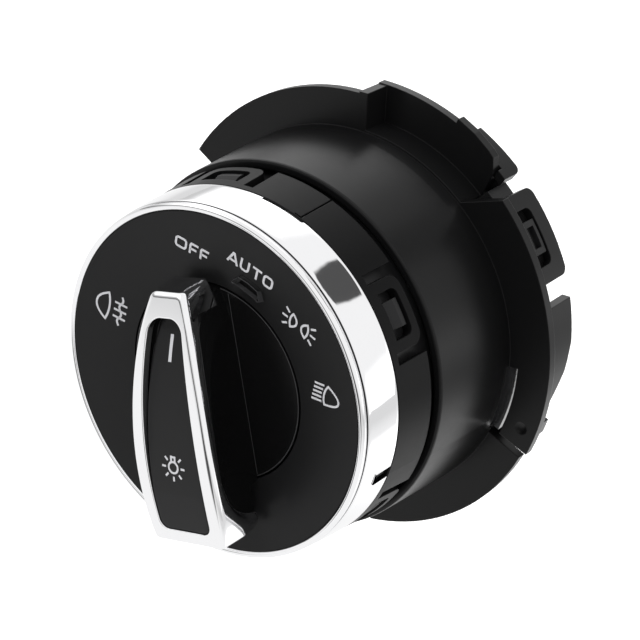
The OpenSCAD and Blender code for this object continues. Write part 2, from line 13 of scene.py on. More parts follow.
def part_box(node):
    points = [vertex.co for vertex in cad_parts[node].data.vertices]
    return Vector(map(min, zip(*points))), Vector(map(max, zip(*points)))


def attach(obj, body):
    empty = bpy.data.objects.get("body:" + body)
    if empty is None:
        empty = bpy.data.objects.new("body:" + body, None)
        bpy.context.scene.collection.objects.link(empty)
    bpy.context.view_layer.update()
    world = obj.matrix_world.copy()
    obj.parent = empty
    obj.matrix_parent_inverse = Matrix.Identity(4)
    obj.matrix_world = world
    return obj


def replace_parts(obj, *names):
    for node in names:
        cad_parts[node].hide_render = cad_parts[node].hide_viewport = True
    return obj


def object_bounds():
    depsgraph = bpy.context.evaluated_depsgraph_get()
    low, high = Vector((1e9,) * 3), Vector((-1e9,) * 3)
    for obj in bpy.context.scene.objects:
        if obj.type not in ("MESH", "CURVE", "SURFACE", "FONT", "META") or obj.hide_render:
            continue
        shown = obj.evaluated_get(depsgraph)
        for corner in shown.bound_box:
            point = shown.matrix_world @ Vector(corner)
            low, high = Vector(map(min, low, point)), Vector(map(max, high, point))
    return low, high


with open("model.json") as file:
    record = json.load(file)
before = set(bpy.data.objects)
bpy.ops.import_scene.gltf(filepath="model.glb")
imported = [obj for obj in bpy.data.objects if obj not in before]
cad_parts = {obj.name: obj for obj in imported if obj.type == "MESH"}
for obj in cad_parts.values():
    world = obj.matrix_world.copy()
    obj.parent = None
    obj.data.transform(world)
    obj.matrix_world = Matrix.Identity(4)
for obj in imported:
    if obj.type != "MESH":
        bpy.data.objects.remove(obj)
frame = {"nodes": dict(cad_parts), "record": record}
cad_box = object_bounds()
nodes = frame["nodes"]

MM = 0.001

# Places taken from the frame: the dial's front, and the lowest point of the solids
DIAL_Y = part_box("fascia")[0][1]
CAD_LOW_Z = cad_box[0][2]

# Clock angles are counted from straight up, clockwise from the front
DETENT = 30.0
OFF_CLOCK = -30.0
FOG_CLOCK = -90.0


# Shader nodes

def feed(tree, value, socket):
    """Sets a socket to a number, or links an output to it."""
    if isinstance(value, (int, float)):
        socket.default_value = value
    else:
        tree.links.new(value, socket)


def calc(tree, operation, *values):
    """A maths node on numbers or outputs."""
    node = tree.nodes.new("ShaderNodeMath")
    node.operation = operation
    for value, socket in zip(values, node.inputs):
        feed(tree, value, socket)
    return node.outputs[0]


def measure(tree, operation, vector, other=(0, 0, 0)):
    """A number from a vector, such as its length or its distance from a place."""
    node = tree.nodes.new("ShaderNodeVectorMath")
    node.operation = operation
    node.inputs[1].default_value = other
    tree.links.new(vector, node.inputs[0])
    return node.outputs["Value"]


def map_range(tree, value, start, end, low, high, kind="SMOOTHSTEP"):
    """Carries a value over from one range to another."""
    node = tree.nodes.new("ShaderNodeMapRange")
    node.interpolation_type = kind
    for number, name in ((start, "From Min"), (end, "From Max"), (low, "To Min"), (high, "To Max")):
        node.inputs[name].default_value = number
    tree.links.new(value, node.inputs["Value"])
    return node.outputs["Result"]


def fade(tree, share, first, second):
    """A number that goes from the first to the second as the share grows to 1."""
    node = tree.nodes.new("ShaderNodeMix")
    for value, name in ((share, "Factor"), (first, "A"), (second, "B")):
        feed(tree, value, node.inputs[name])
    return node.outputs["Result"]


def add_noise(tree, scale, detail=4.0, space="Object"):
    """Noise over an object's places, or over the world's directions where the space is Generated."""
    coords = tree.nodes.new("ShaderNodeTexCoord")
    noise = tree.nodes.new("ShaderNodeTexNoise")
    noise.inputs["Scale"].default_value = scale
    noise.inputs["Detail"].default_value = detail
    tree.links.new(coords.outputs[space], noise.inputs["Vector"])
    return noise.outputs["Fac"]


# Materials

# Noise of moulded plastic: cloudy tone, and a fine grain with its detail and depth
TONE_SCALE = 60.0
GRAIN_SCALE, GRAIN_DETAIL, GRAIN_DEPTH = 900.0, 6.0, 0.05 * MM
# How far roughness drifts: either way on plastic, and as a share on metal
PLASTIC_DRIFT, METAL_DRIFT = 0.04, 0.2
METAL_SCALE = 90.0
EDGE_SAMPLES = 6


def new_material(name):
    """A material, its node tree and its shader."""
    mat = bpy.data.materials.new(name)
    mat.use_nodes = True
    return mat, mat.node_tree, mat.node_tree.nodes["Principled BSDF"]


def vary_colour(tree, bsdf, noise, low, high):
    """Lets the base colour drift between two colours."""
    ramp = tree.nodes.new("ShaderNodeValToRGB")
    ramp.color_ramp.elements[0].color = (*low, 1)
    ramp.color_ramp.elements[1].color = (*high, 1)
    tree.links.new(noise, ramp.inputs["Fac"])
    tree.links.new(ramp.outputs["Color"], bsdf.inputs["Base Color"])


def vary_roughness(tree, bsdf, noise, low, high):
    """Lets the roughness drift between two values."""
    tree.links.new(map_range(tree, noise, 0, 1, low, high, "LINEAR"), bsdf.inputs["Roughness"])


def grey(v):
    """A faintly bluish grey."""
    return (v, v, v * 1.04)


def plastic(name, tone, roughness, specular, bump, spread=0.12, edge=0.0):
    """Moulded plastic with a fine grain, a slightly uneven tone and, if asked, softly shaded edges."""
    mat, tree, bsdf = new_material(name)
    cloud = add_noise(tree, TONE_SCALE)
    vary_colour(tree, bsdf, cloud, grey(tone * (1 - spread)), grey(tone * (1 + spread)))
    grain = add_noise(tree, GRAIN_SCALE, GRAIN_DETAIL)
    vary_roughness(tree, bsdf, grain, roughness - PLASTIC_DRIFT, roughness + PLASTIC_DRIFT)
    relief = tree.nodes.new("ShaderNodeBump")
    relief.inputs["Strength"].default_value = bump
    relief.inputs["Distance"].default_value = GRAIN_DEPTH
    tree.links.new(grain, relief.inputs["Height"])
    tree.links.new(relief.outputs["Normal"], bsdf.inputs["Normal"])
    if edge:
        round_edge = tree.nodes.new("ShaderNodeBevel")
        round_edge.samples = EDGE_SAMPLES
        round_edge.inputs["Radius"].default_value = edge * MM
        tree.links.new(round_edge.outputs["Normal"], relief.inputs["Normal"])
    bsdf.inputs["Specular IOR Level"].default_value = specular
    return mat


def metal(name, colour, roughness, spread=0.02):
    """Plated or rolled metal with a faint unevenness."""
    mat, tree, bsdf = new_material(name)
    cloud = add_noise(tree, METAL_SCALE)
    vary_colour(tree, bsdf, cloud, [c * (1 - spread) for c in colour], colour)
    vary_roughness(tree, bsdf, cloud, roughness * (1 - METAL_DRIFT), roughness * (1 + METAL_DRIFT))
    bsdf.inputs["Metallic"].default_value = 1.0
    return mat


def tinted(name, low, high, roughness, scale=120.0, clear=0.0):
    """Plastic or lacquer whose colour drifts between two tones; a clear one lets light through."""
    mat, tree, bsdf = new_material(name)
    vary_colour(tree, bsdf, add_noise(tree, scale), low, high)
    bsdf.inputs["Roughness"].default_value = roughness
    bsdf.inputs["Transmission Weight"].default_value = clear
    return mat


chrome = metal("chrome_plate", (0.93, 0.93, 0.94), 0.05)
dial_black = plastic("dial_black", 0.007, 0.4, specular=0.15, bump=0.02)
grip_black = plastic("grip_black", 0.0028, 0.24, specular=0.2, bump=0.01, edge=0.12)
insert_black = plastic("insert_black", 0.008, 0.4, specular=0.2, bump=0.02)
body_black = plastic("body_black", 0.008, 0.36, specular=0.2, bump=0.06, edge=0.2)
carrier_black = plastic("carrier_black", 0.003, 0.36, specular=0.09, bump=0.06, edge=0.2)
housing_black = plastic("housing_black", 0.0036, 0.3, specular=0.18, bump=0.08, edge=0.25)
smoked = plastic("smoked_lens", 0.004, 0.3, specular=0.2, bump=0.01)
# Dark grey for the faces of the chrome ring's groove: painted shade
groove_painted_shade = plastic("groove_painted_shade", 0.02, 0.4, specular=0.2, bump=0.0)
sign_white = plastic("sign_white", 0.46, 0.5, specular=0.2, bump=0.0, spread=0.03)
# Pale grey for thin strips along edges, rims and the lens's outline: painted highlights
painted_highlight = plastic("painted_highlight", 0.028, 0.35, specular=0.3, bump=0.0)
polished_black = plastic("polished_black", 0.02, 0.16, specular=1.0, bump=0.0)
natural = tinted("natural_plastic", (0.66, 0.63, 0.56), (0.74, 0.71, 0.64), 0.45)
led_lens = tinted("led_lens", (0.78, 0.75, 0.55), (0.86, 0.84, 0.68), 0.25)
board_green = tinted("board_green", (0.02, 0.12, 0.05), (0.04, 0.2, 0.09), 0.45, scale=300.0)
clear_guide = tinted("clear_guide", (0.82, 0.86, 0.88), (0.9, 0.93, 0.95), 0.15, scale=80.0, clear=0.6)
steel = metal("spring_steel", (0.55, 0.55, 0.57), 0.3, 0.08)
brass = metal("contact_brass", (0.78, 0.57, 0.25), 0.28, 0.06)

# The look of each of the record's slots, and the nodes that have a look of their own
LOOKS = {
    "chrome": chrome, "dial_black": dial_black, "satin_black": insert_black, "smoked_lens": smoked,
    "clear_guide": clear_guide, "black_plastic": body_black, "housing_black": housing_black,
    "board": board_green, "chip": body_black, "natural_plastic": natural, "led_plastic": led_lens,
    "spring_steel": steel, "contact_brass": brass,
}
NODE_LOOKS = {"knob_body": grip_black, "ring_carrier": carrier_black}


def dress_nodes():
    """Gives every node its look."""
    for part in frame["record"]["subparts"]:
        node = nodes[part["node"]]
        look = NODE_LOOKS.get(part["node"], LOOKS[part["material_slot"]])
        node.data.materials.clear()
        node.data.materials.append(look)


# Pieces

def new_mesh(name, verts, faces):
    """A mesh from points in metres and faces."""
    mesh = bpy.data.meshes.new(name)
    mesh.from_pydata(verts, [], faces)
    return mesh


def new_piece(name, mesh, look, body):
    """An object with its look, on the body that it rides on."""
    obj = bpy.data.objects.new(name, mesh)
    bpy.context.collection.objects.link(obj)
    mesh.materials.append(look)
    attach(obj, body)
    return obj


# The grip, in millimetres: w across the blade, s along it towards the pointer, h towards the viewer

# Arches over the blade's length: radius, level of the crown and the crown's place
FRONT_R, FRONT_H, FRONT_S = 86.0, 12.6, -12.0
SIDE_R, SIDE_W, SIDE_S = 112.5, 8.7, -13.0
INSERT_R, INSERT_H, INSERT_S = 78.5, 12.3, -17.0
# Least depth of the insert's face below the frame's
INSERT_SUNK = 0.25
# Chamfer between front and side
DIAGONAL, CHAMFER_CUT = 0.7071, 0.42
# Hollow flanks: radius, half width where they are narrowest and the level of that place
FLANK_R, FLANK_W, FLANK_H = 24.0, 5.95, -0.5
# Thumb scoop in the flanks: centre and radius of its lower end, width of its rim and the swell beyond
SCOOP_S, SCOOP_H, SCOOP_R, SCOOP_RISE, SCOOP_SWELL = -11.0, -1.6, 11.7, 2.4, 2.6
# Sides of the lower end: half width at a place, its growth along the blade, and how far, below which
# level and over what height they draw in
HEEL_W, HEEL_S, HEEL_SPREAD = 7.6, -24.9, 0.268
HEEL_TUCK, HEEL_TUCK_TOP, HEEL_TUCK_RUN = 1.36, 6.5, 5.9
# Lower end: place at the dial's level, and its lean for each millimetre of height
FOOT_S, FOOT_LEAN = -25.35, 0.02
# Shoulders, which narrow the upper end: half width, its loss along and forward, the length of that
# slope, and a flare below a level
SHOULDER_W, SHOULDER_ALONG, SHOULDER_FORWARD, SHOULDER_SLOPE = 12.49, 0.44, 0.06, 1.095
FLARE, FLARE_TOP = 0.03, 6.0
# Upper end: a place on it and its slope, forward and along, with the slope's length
TOP_S, TOP_H = 19.6, 0.5
TOP_FORWARD, TOP_ALONG, TOP_SLOPE = 0.6, 4.5, 4.54
# Widths over which the faces blend into each other
FLANK_BLEND, HEEL_BLEND, FOOT_BLEND = 1.0, 0.5, 0.8
EDGE_BLEND, SHOULDER_BLEND, TOP_BLEND, END_BLEND = 0.4, 1.2, 0.8, 1.0

# Window for the insert: half width at its widest place, taper, ends, corner radii and edge
WINDOW_W, WINDOW_S, WINDOW_TAPER = 5.72, -14.0, 0.0028
WINDOW_TOP, WINDOW_BOTTOM = 14.75, -22.4
WINDOW_TOP_R, WINDOW_BOTTOM_R = 2.4, 1.7
WINDOW_BLEND = 0.3
# A place inside the window, and the ends of the line that its edge is drawn around
WINDOW_MIDDLE = -5.0
SPINE_LOW, SPINE_HIGH = -18.5, 10.5

# Core of the frame's band: how far outside the window and below the front it runs, and the turns
# about it, in degrees from straight ahead: the window's wall, then the front and the outer side
CORE_OUT, CORE_DEPTH = 0.85, 0.9
WALL_TURNS, FRONT_TURNS = np.linspace(-125, -60, 16), np.linspace(-56, 90, 52)
# Steps from the core's level down to the frame's lower edge
SIDE_STEPS = np.linspace(0.03, 1, 34)
# The frame's lower edge and how far it turns in under the blade
BLADE_FOOT = 0.62
FOOT_TUCK = 2.5
# The insert's gap to the window, its edge from the wall to the face, as how far in and how far below
# the face each point lies, and the steps from there to the middle
INSERT_GAP = 0.05
INSERT_EDGE = ((0, 1.3), (0, 0.3), (0.05, 0.13), (0.14, 0.04), (0.3, 0))
FACE_STEPS = np.linspace(0.08, 1, 16)

# The disc under the blade
DISC_R, DISC_H = 17.9, -1.5
# Black panels on the flanks: ends, their radii, depth below the front, lift off the blade and how far
# their upper edge tucks back in
PANEL_TOP, PANEL_BOTTOM = 15.0, -23.0
PANEL_TOP_R, PANEL_BOTTOM_R = 3.6, 12.0
PANEL_DEPTH = 2.1
PANEL_LIFT, PANEL_TUCK = 0.05, 0.12
# How far inside the disc's edge they stop reaching down to it, and how deep they reach into it
PANEL_IN, PANEL_SINK = 0.3, 0.1
# Points on each stretch of a panel, and the step from a curved stretch to the straight one
PANEL_STEPS, PANEL_JOIN = 40, 0.4
# Painted highlight line along a panel: lift off the flank, and its two edges from the panel's
LINE_LIFT, LINE_EDGES = 0.07, (0.05, -0.06)
# Painted highlight along the disc's rim: its two radii and lift
RIM_RADII, RIM_LIFT = (DISC_R - 0.2, DISC_R - 0.04), 0.02
# Painted highlights along the creases beside the blade: half length, distance from the flank, width and
# lift off the disc
CREASE_REACH, CREASE_OUT, CREASE_WIDTH, CREASE_LIFT = 16.4, 0.12, 0.14, 0.03
# What keeps two edges just apart, and how near points are joined
HAIR = 0.02
WELD = 0.002 * MM

GRIP_TURN = math.radians(OFF_CLOCK)
GRIP_ACROSS = Vector((math.cos(GRIP_TURN), 0, -math.sin(GRIP_TURN)))
GRIP_ALONG = Vector((math.sin(GRIP_TURN), 0, math.cos(GRIP_TURN)))


def from_grip(w, s, h):
    """A grip point in the frame, in metres."""
    place = (GRIP_ACROSS * w + GRIP_ALONG * s) * MM
    return (place.x, DIAL_Y - h * MM, place.z)


def arch(s, radius, height, middle):
    """Level of an arch at a place along the blade."""
    return height - (radius - np.sqrt(radius ** 2 - (s - middle) ** 2))


def front_h(s):
    return arch(s, FRONT_R, FRONT_H, FRONT_S)


def insert_h(s):
    return np.minimum(arch(s, INSERT_R, INSERT_H, INSERT_S), front_h(s) - INSERT_SUNK)


def soft_max(a, b, k):
    """The larger of two, blended where they differ by less than k."""
    return np.maximum(a, b) + np.maximum(k - np.abs(a - b), 0) ** 2 / (4 * k)


def round_max(a, b, r):
    """The larger of two distances, with a fillet of radius r where they meet."""
    return np.minimum(-r, np.maximum(a, b)) + np.hypot(np.maximum(r + a, 0), np.maximum(r + b, 0))


def outside_window(points):
    """Negative inside the window, seen from the front."""
    w, s = points[..., 0], points[..., 1]
    side = np.abs(w) - (WINDOW_W - WINDOW_TAPER * (s - WINDOW_S) ** 2)
    upper = round_max(side, s - WINDOW_TOP, WINDOW_TOP_R)
    return round_max(upper, WINDOW_BOTTOM - s, WINDOW_BOTTOM_R)


def past_scoop(s, h):
    """0 in the flank's thumb scoop, rising to 1 beyond its rounded lower end."""
    far = np.hypot(np.maximum(SCOOP_S - s, 0), np.maximum(h - SCOOP_H, 0))
    t = np.clip((far - SCOOP_R) / SCOOP_RISE, 0, 1)
    return t * t * (3 - 2 * t)


def outside_grip(points):
    """Negative inside the grip, with its edges rounded."""
    w, s, h = np.abs(points[..., 0]), points[..., 1], points[..., 2]
    front = h - front_h(s)
    side = w - arch(s, SIDE_R, SIDE_W, SIDE_S)
    chamfer = (front + side) * DIAGONAL + CHAMFER_CUT
    hollow = FLANK_W + FLANK_R - np.sqrt(FLANK_R ** 2 - (h - FLANK_H) ** 2)
    flank = w - hollow - SCOOP_SWELL * past_scoop(s, h)
    tuck = HEEL_TUCK * (np.maximum(0, HEEL_TUCK_TOP - h) / HEEL_TUCK_RUN) ** 2
    heel = w - HEEL_W + tuck - HEEL_SPREAD * (s - HEEL_S)
    foot = FOOT_LEAN * h - s + FOOT_S
    flare = FLARE * np.maximum(0, FLARE_TOP - h) ** 2
    shoulder = (w + SHOULDER_ALONG * s + SHOULDER_FORWARD * h - flare - SHOULDER_W) / SHOULDER_SLOPE
    top = ((h - TOP_H) * TOP_FORWARD + (s - TOP_S) * TOP_ALONG) / TOP_SLOPE
    sides = soft_max(soft_max(soft_max(side, flank, FLANK_BLEND), heel, HEEL_BLEND), foot, FOOT_BLEND)
    shape = soft_max(soft_max(front, chamfer, EDGE_BLEND), sides, EDGE_BLEND)
    for face, blend in ((shoulder, SHOULDER_BLEND), (top, TOP_BLEND), (foot, END_BLEND)):
        shape = soft_max(shape, face, blend)
    return shape


def find_surface(field, start, direction, reach=14.0, steps=140, halvings=22):
    """Where each ray first leaves the field's negative part."""
    low = np.zeros(start.shape[:-1])
    high = np.full(start.shape[:-1], reach)
    found = np.zeros(start.shape[:-1], bool)
    for i in range(1, steps + 1):
        t = reach * i / steps
        out = field(start + direction * t) > 0
        new = out & ~found
        high[new] = t
        low[~found & ~out] = t
        found |= out
    for _ in range(halvings):
        mid = (low + high) / 2
        out = field(start + direction * mid[..., None]) > 0
        high = np.where(out, mid, high)
        low = np.where(out, low, mid)
    return start + direction * high[..., None]


def skin(name, grid, look, closed=True):
    """A smooth sheet through rows of grip points; each row may close on itself."""
    rows, count = len(grid), len(grid[0])
    verts = [from_grip(*map(float, p)) for row in grid for p in row]
    faces = []
    for i in range(rows - 1):
        for k in range(count if closed else count - 1):
            a, b = i * count + k, i * count + (k + 1) % count
            faces.append((a, b, b + count, a + count))
    mesh = new_mesh(name, verts, faces)
    work = bmesh.new()
    work.from_mesh(mesh)
    bmesh.ops.remove_doubles(work, verts=work.verts, dist=WELD)
    bmesh.ops.recalc_face_normals(work, faces=work.faces)
    work.to_mesh(mesh)
    work.free()
    mesh.polygons.foreach_set("use_smooth", [True] * len(mesh.polygons))
    return new_piece(name, mesh, look, "knob")


def window_line(level, count):
    """Points at a distance outside the window's edge, anticlockwise from the right, and their centres."""
    a = np.linspace(0, math.tau, count, endpoint=False)
    start = np.stack([np.zeros(count), np.full(count, WINDOW_MIDDLE)], -1)
    way = np.stack([np.cos(a), np.sin(a)], -1)
    line = find_surface(lambda p: outside_window(p) - level, start, way, reach=24.0, steps=240)
    centre = np.stack([np.zeros(count), np.clip(line[:, 1], SPINE_LOW, SPINE_HIGH)], -1)
    return line, centre


def framed(points):
    """Negative inside the grip and outside its window."""
    return soft_max(outside_grip(points), -outside_window(points), WINDOW_BLEND)


def build_frame(count=520):
    """The chrome frame: a band around the insert whose sides run down to the disc."""
    line, centre = window_line(CORE_OUT, count)
    out = line - centre
    out /= np.linalg.norm(out, axis=1)[:, None]
    core_h = front_h(line[:, 1]) - CORE_DEPTH
    rows = []
    start = np.concatenate([line, core_h[:, None]], 1)
    for degrees in np.concatenate([WALL_TURNS, FRONT_TURNS]):
        a = math.radians(float(degrees))
        way = np.concatenate([out * math.sin(a), np.full((count, 1), math.cos(a))], 1)
        rows.append(find_surface(framed, start, way, reach=9.0, steps=120))
    way = np.concatenate([out, np.zeros((count, 1))], 1)
    for share in SIDE_STEPS:
        level = core_h + (BLADE_FOOT - core_h) * share
        rows.append(find_surface(outside_grip, np.concatenate([centre, level[:, None]], 1), way))
    foot = rows[-1].copy()
    foot[:, :2] -= out * FOOT_TUCK
    rows.append(foot)
    return skin("frame_skin", rows, chrome)


def build_insert(count=400):
    """The insert's face, with softened edges."""
    line, centre = window_line(-INSERT_GAP, count)
    inward = centre - line
    length = np.linalg.norm(inward, axis=1)[:, None]
    rows = []
    for step, drop in INSERT_EDGE:
        at = line + inward / length * step
        rows.append(np.concatenate([at, (insert_h(at[:, 1]) - drop)[:, None]], 1))
    edge = rows[-1][:, :2]
    for share in FACE_STEPS:
        at = edge + (centre - edge) * share
        rows.append(np.concatenate([at, insert_h(at[:, 1])[:, None]], 1))
    return skin("insert_skin", rows, insert_black)


def rounded_off(gap, corner):
    """How far a rounded corner lies below its edge, at a distance from its end."""
    near = np.clip(corner - gap, 0, corner)
    return corner - np.sqrt(corner ** 2 - near ** 2)


def panel_foot_h(s):
    """Lower edge of a flank panel: just inside the disc, or past it just above the frame's lower edge."""
    return np.where(np.abs(s) < DISC_R - PANEL_IN, DISC_H - PANEL_SINK, BLADE_FOOT + HAIR)


def panel_top_h(s):
    """Upper edge of a flank panel, rounded off at both ends."""
    drop = rounded_off(PANEL_TOP - s, PANEL_TOP_R) + rounded_off(s - PANEL_BOTTOM, PANEL_BOTTOM_R)
    return np.maximum(front_h(s) - PANEL_DEPTH - drop, panel_foot_h(s) + HAIR)


def on_flank(side, s, h, lift):
    """Points just off the blade's flank; those below the blade go straight down from its lower edge."""
    start = np.stack([np.zeros_like(s), s, np.maximum(h, BLADE_FOOT)], -1)
    way = np.zeros_like(start)
    way[..., 0] = side
    hit = find_surface(outside_grip, start, way)
    hit[..., 0] += side * lift
    hit[..., 2] = h
    return hit


def build_panel(side, name):
    """A flank's black panel, with a painted highlight line along its upper edge."""
    turn = 1 - np.cos(np.linspace(0, math.pi / 2, PANEL_STEPS))
    lower, upper = PANEL_BOTTOM + PANEL_BOTTOM_R * turn, PANEL_TOP - PANEL_TOP_R * turn[::-1]
    straight = np.linspace(lower[-1] + PANEL_JOIN, upper[0] - PANEL_JOIN, PANEL_STEPS)
    s = np.concatenate([lower, straight, upper])
    top, foot = panel_top_h(s), panel_foot_h(s)
    shares = np.linspace(0, 1, PANEL_STEPS)
    rows = [on_flank(side, s, top + (foot - top) * share, PANEL_LIFT) for share in shares]
    tucked = rows[0].copy()
    tucked[:, 0] -= side * PANEL_TUCK
    skin(name, [tucked] + rows, grip_black, closed=False)
    # A pale strip along the panel's upper edge: a painted highlight.
    edge = [on_flank(side, s, top + d, LINE_LIFT) for d in LINE_EDGES]
    skin(name + "_line", edge, painted_highlight, closed=False)


def build_painted_highlights(rim_count=360, crease_count=60):
    """Painted highlights along the disc's rim and along the creases beside the blade."""
    a = np.linspace(0, math.tau, rim_count + 1)[:-1]
    level = np.full(rim_count, DISC_H + RIM_LIFT)
    rim = [np.stack([r * np.sin(a), r * np.cos(a), level], -1) for r in RIM_RADII]
    skin("disc_rim_highlight", rim, painted_highlight)
    s = np.linspace(-CREASE_REACH, CREASE_REACH, crease_count)
    level = np.full(crease_count, DISC_H + CREASE_LIFT)
    near = FLANK_W + CREASE_OUT
    widths = (near, near + CREASE_WIDTH)
    for side, name in ((-1, "crease_highlight_left"), (1, "crease_highlight_right")):
        rows = [np.stack([np.full(crease_count, side * w), s, level], -1) for w in widths]
        skin(name, rows, painted_highlight, closed=False)


def build_grip():
    """The frame and the insert in the place of their solids, and what lies on the blade and the disc."""
    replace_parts(build_frame(), "knob_frame")
    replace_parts(build_insert(), "knob_insert")
    build_panel(1, "panel_right")
    build_panel(-1, "panel_left")
    build_painted_highlights()


# The trim ring's profile, in millimetres: radius, and depth behind the dial's front

# Foot of the inner wall, and the round lip with a fine step in it: middle, radius, step and its angles
RING_INNER = (31.05, 0.9)
LIP_R, LIP_Y, LIP_SIZE = 31.675, 0.25, 0.625
LIP_STEP, LIP_STEP_FROM, LIP_STEP_TO = 0.05, 104, 118
LIP_POINTS = 23
# Groove behind the lip, and which of the profile's faces get painted shade
GROOVE = ((32.3, 0.74), (31.9, 0.78), (31.9, 1.12), (32.26, 1.16),
          (32.36, 1.2), (32.42, 1.28), (32.45, 1.42))
GROOVE_SHADE_FACES = range(LIP_POINTS + 1, LIP_POINTS + 4)
# Band: how far it widens over its run, and its bulge
BAND_R, BAND_Y = GROOVE[-1]
BAND_WIDENS, BAND_BULGE, BAND_RUN = 0.6, 0.07, 7.2
BAND_POINTS = 12
RING_BACK = 8.8
RING_END = ((33.02, 8.72), (32.92, 8.79), (32.8, RING_BACK), (31.9, RING_BACK))
# Notches in the back: first and last clock angle, and the depth that they leave
RING_NOTCHES = ((-10.7, 4.4, 8.4), (86.6, 90.6, 4.6))
NOTCH_EDGE = 0.02


def ring_profile():
    """From the inner wall over the lip and the groove to the back of the band."""
    line = [RING_INNER]
    for i in range(LIP_POINTS):
        t = 180 - 180 * i / (LIP_POINTS - 1)
        r = LIP_SIZE - (LIP_STEP if LIP_STEP_FROM < t < LIP_STEP_TO else 0)
        line.append((LIP_R + r * math.cos(math.radians(t)), LIP_Y - r * math.sin(math.radians(t))))
    line += GROOVE
    for i in range(1, BAND_POINTS + 1):
        t = i / BAND_POINTS
        line.append((BAND_R + BAND_WIDENS * t + BAND_BULGE * math.sin(math.pi * t), BAND_Y + BAND_RUN * t))
    return line + list(RING_END)


def build_ring():
    """The chrome ring: its profile turned about the axis, with the notches cut into its back and painted
    shade in its groove.
    """
    turns = [float(i) for i in range(-90, 270)]
    for first, last, _ in RING_NOTCHES:
        turns += [first - NOTCH_EDGE, first + NOTCH_EDGE, last - NOTCH_EDGE, last + NOTCH_EDGE]
    turns = sorted(turns)
    profile = ring_profile()
    verts = []
    for turn in turns:
        limit = min([RING_BACK] + [y for first, last, y in RING_NOTCHES if first < turn < last])
        a = math.radians(turn)
        for r, y in profile:
            verts.append((r * math.sin(a) * MM, DIAL_Y + min(y, limit) * MM, r * math.cos(a) * MM))
    count, rows = len(profile), len(turns)
    faces, dark = [], []
    for i in range(rows):
        for k in range(count - 1):
            a, b = i * count + k, (i + 1) % rows * count + k
            faces.append((a, a + 1, b + 1, b))
            dark.append(int(k in GROOVE_SHADE_FACES))
    mesh = new_mesh("ring_skin", verts, faces)
    ring = new_piece("ring_skin", mesh, chrome, "base")
    # The groove's faces take a dark material: painted shade.
    mesh.materials.append(groove_painted_shade)
    for face, index in zip(mesh.polygons, dark):
        face.use_smooth = True
        face.material_index = index
    mesh.update()
    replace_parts(ring, "trim_ring")


# Signs, drawn as ribbons that lie on the surface behind them

# Distance from the dial's middle, and a ribbon's usual width, lift, thickness and steps
SIGN_RADIUS = 24.2 * MM
SIGN_STROKE = 0.42 * MM
SIGN_LIFT = 0.03 * MM
SIGN_DEPTH = 0.03 * MM
SIGN_STEP = 0.35 * MM
# Least cosine between a mitre and its strokes' normals, which keeps sharp corners short
LEAST_MITRE = 0.45
# How far in front of the dial the search for a surface starts
RAY_AHEAD = 40 * MM

# Capitals, in millimetres: half the height between the strokes' middles, half a stroke and corner radius
HALF_CAP = 0.925
HALF_STROKE = 0.21
LETTER_R = 0.55
LETTER_TOP, LETTER_FOOT = HALF_CAP + HALF_STROKE, -HALF_CAP - HALF_STROKE

# Corners of the lens's outline: clock angle and radius
LENS_OUTLINE = ((-6.3, 20.95), (-2.9, 22.5), (2.5, 22.6), (7.9, 22.5),
                (11.3, 20.95), (7, 20.8), (2.5, 20.75), (-2, 20.8))


def surface_of(obj):
    """An object's faces, ready for rays."""
    bpy.context.view_layer.update()
    return BVHTree.FromObject(obj, bpy.context.evaluated_depsgraph_get())


def on_surface(surface, x, z):
    """The point just in front of a surface at that place in the front view."""
    hit = surface.ray_cast(Vector((x, DIAL_Y - RAY_AHEAD, z)), Vector((0, 1, 0)))
    return Vector((x, hit[0].y - SIGN_LIFT, z)) if hit[0] else Vector((x, DIAL_Y, z))


def ribbon_edges(points, closed, half):
    """Left and right edge points of a stroke of that half width, with mitred corners."""
    count = len(points)
    left, right = [], []
    for i, p in enumerate(points):
        before = points[i - 1] if closed or i > 0 else None
        after = points[(i + 1) % count] if closed or i < count - 1 else None
        steps = []
        if before is not None:
            steps.append((p - before).normalized())
        if after is not None:
            steps.append((after - p).normalized())
        normals = [Vector((-d.y, d.x)) for d in steps]
        mitre = sum(normals, Vector((0, 0))).normalized()
        reach = half / max(mitre.dot(normals[0]), LEAST_MITRE)
        left.append(p + mitre * reach)
        right.append(p - mitre * reach)
    return left, right


def dense(points, closed, step):
    """The same line with points no further apart than a step."""
    out = []
    count = len(points)
    for i in range(count if closed else count - 1):
        a, b = points[i], points[(i + 1) % count]
        pieces = max(1, math.ceil((b - a).length / step))
        out += [a.lerp(b, k / pieces) for k in range(pieces)]
    if not closed:
        out.append(points[-1])
    return out


def build_sign(name, strokes, clock, radius, tilt, surface, body, look, stroke=SIGN_STROKE, scale=1.0):
    """A sign from strokes in millimetres about its own middle, right and up: lines, each closed or not."""
    clock, tilt = math.radians(clock), math.radians(tilt)
    middle = Vector((math.sin(clock), math.cos(clock))) * radius
    turn = Matrix.Rotation(-tilt, 2)
    verts, faces = [], []
    for points, closed in strokes:
        line = [turn @ (Vector(p) * MM * scale) + middle for p in points]
        line = dense(line, closed, SIGN_STEP)
        left, right = ribbon_edges(line, closed, stroke / 2)
        first = len(verts)
        for a, b in zip(left, right):
            verts += [on_surface(surface, a.x, a.y), on_surface(surface, b.x, b.y)]
        count = len(line)
        for i in range(count if closed else count - 1):
            a, b = first + 2 * i, first + 2 * ((i + 1) % count)
            faces.append((a, a + 1, b + 1, b))
    sign = new_piece(name, new_mesh(name, [tuple(v) for v in verts], faces), look, body)
    depth = sign.modifiers.new("depth", "SOLIDIFY")
    depth.thickness = SIGN_DEPTH
    depth.offset = 0


